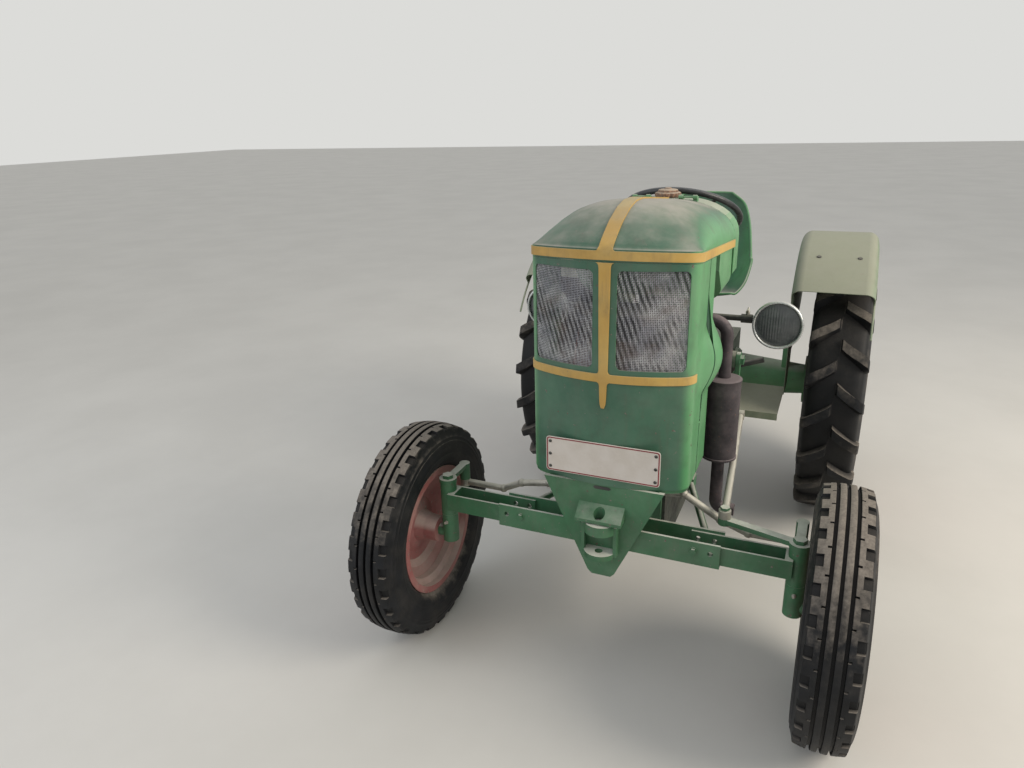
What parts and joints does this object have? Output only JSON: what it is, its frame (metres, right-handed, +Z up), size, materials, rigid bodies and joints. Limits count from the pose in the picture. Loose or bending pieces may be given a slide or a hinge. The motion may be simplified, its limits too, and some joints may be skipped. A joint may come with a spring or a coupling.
{
  "type": "vintage farm tractor",
  "caption": "Small vintage air-cooled farm tractor with an upright two-part grille, crowned hinged bonnet, telescopic front axle, steering linkage, silencer and rolling wheels.",
  "frame": {"origin": "on the ground, below the centre of the bounding box", "axes": "+Z up, the tractor faces -Y, +X is its left side"},
  "size_m": [1.47, 2.3624, 1.4606],
  "materials": {
    "green_paint": "gloss paint, dulled and dusty",
    "pale_green_paint": "sun-bleached paint under dust",
    "yellow_paint": "ochre paint",
    "red_paint": "dull red paint",
    "plate_white": "enamel",
    "black_paint": "satin black",
    "grille_wire": "dusty wire",
    "rusty_steel": "rusted and sooty",
    "engine_iron": "oily casting",
    "bare_steel": "worn, dusty",
    "black_rim": "worn gloss",
    "lamp_shell": "dull grey with a pale rim",
    "lamp_glass": "clear",
    "tyre_rubber": "dusty rubber"
  },
  "bodies": {
    "chassis": {"nose_shell": "green_paint", "nose_bands": "yellow_paint", "grilles": "grille_wire", "number_plate": "plate_white", "cowl": "green_paint", "filler_cap": "rusty_steel", "dashboard": "black_paint", "fuel_tank": "green_paint", "front_bracket": "green_paint", "axle_beam": "green_paint", "axle_arms": "green_paint", "radius_rods": "green_paint", "steering_box": "green_paint", "lamp_bar": "black_paint", "headlamps": "lamp_shell", "headlamp_glass": "lamp_glass", "engine": "engine_iron", "exhaust_elbow": "rusty_steel", "muffler": "rusty_steel", "transmission": "engine_iron", "pto_stub": "bare_steel", "rear_axle": "green_paint", "mudguards": "pale_green_paint", "footplates": "pale_green_paint", "seat": "green_paint", "seat_spring": "green_paint", "controls": "bare_steel", "drawbar": "green_paint", "trailer_jaw": "green_paint"},
    "bonnet": {"bonnet_lid": "green_paint", "lid_bands": "yellow_paint"},
    "steering_wheel": {"steering_wheel": "black_rim"},
    "knuckle_left": {"knuckle_left": "green_paint"},
    "knuckle_right": {"knuckle_right": "green_paint"},
    "tie_rod": {"tie_rod": "bare_steel"},
    "drag_link": {"drag_link": "bare_steel"},
    "drop_arm": {"drop_arm": "green_paint"},
    "front_wheel_left": {"wheel_front_left": "red_paint", "tyre_front_left": "tyre_rubber"},
    "front_wheel_right": {"wheel_front_right": "red_paint", "tyre_front_right": "tyre_rubber"},
    "rear_wheel_left": {"wheel_rear_left": "red_paint", "tyre_rear_left": "tyre_rubber"},
    "rear_wheel_right": {"wheel_rear_right": "red_paint", "tyre_rear_right": "tyre_rubber"}
  },
  "joints": [
    {"name": "steer_left", "type": "hinge", "parent": "chassis", "child": "knuckle_left", "pos_m": [0.55, -0.81875, 0.45], "axis": [0, 0, 1], "range_deg": [-32, 32]},
    {"name": "steer_right", "type": "hinge", "parent": "chassis", "child": "knuckle_right", "pos_m": [-0.55, -0.81875, 0.45], "axis": [0, 0, 1], "range_deg": [-32, 32]},
    {"name": "tie_rod_swing", "type": "hinge", "parent": "knuckle_left", "child": "tie_rod", "pos_m": [0.55, -0.69875, 0.4945], "axis": [0, 0, 1], "range_deg": [-33, 33]},
    {"name": "drag_link_swing", "type": "hinge", "parent": "knuckle_left", "child": "drag_link", "pos_m": [0.337, -0.75675, 0.5795], "axis": [0, 0, 1], "range_deg": [-36, 36]},
    {"name": "drop_arm_swing", "type": "hinge", "parent": "chassis", "child": "drop_arm", "pos_m": [0.262, -0.11875, 0.85], "axis": [1, 0, 0], "range_deg": [-33, 33]},
    {"name": "steering_wheel_turn", "type": "hinge", "parent": "chassis", "child": "steering_wheel", "pos_m": [0, 0.08125, 1.329], "axis": [0, 0.5, 0.866], "range_deg": [-400, 400]},
    {"name": "bonnet_lift", "type": "hinge", "parent": "chassis", "child": "bonnet", "pos_m": [0, -0.21675, 1.424], "axis": [-1, 0, 0], "range_deg": [0, 55]},
    {"name": "front_left_roll", "type": "hinge", "parent": "knuckle_left", "child": "front_wheel_left", "pos_m": [0.655, -0.81875, 0.3625], "axis": [1, 0, 0], "continuous": true},
    {"name": "front_right_roll", "type": "hinge", "parent": "knuckle_right", "child": "front_wheel_right", "pos_m": [-0.655, -0.81875, 0.3625], "axis": [1, 0, 0], "continuous": true},
    {"name": "rear_left_roll", "type": "hinge", "parent": "chassis", "child": "rear_wheel_left", "pos_m": [0.597, 0.63125, 0.55], "axis": [1, 0, 0], "continuous": true},
    {"name": "rear_right_roll", "type": "hinge", "parent": "chassis", "child": "rear_wheel_right", "pos_m": [-0.597, 0.63125, 0.55], "axis": [1, 0, 0], "continuous": true}
  ],
  "couplings": [
    {"joint": "steer_right", "follows": "steer_left", "ratio": 1},
    {"joint": "tie_rod_swing", "follows": "steer_left", "ratio": -1},
    {"joint": "drag_link_swing", "follows": "steer_left", "ratio": -1.092},
    {"joint": "drop_arm_swing", "follows": "steer_left", "ratio": -1.018},
    {"joint": "steering_wheel_turn", "follows": "steer_left", "ratio": 12.5}
  ]
}
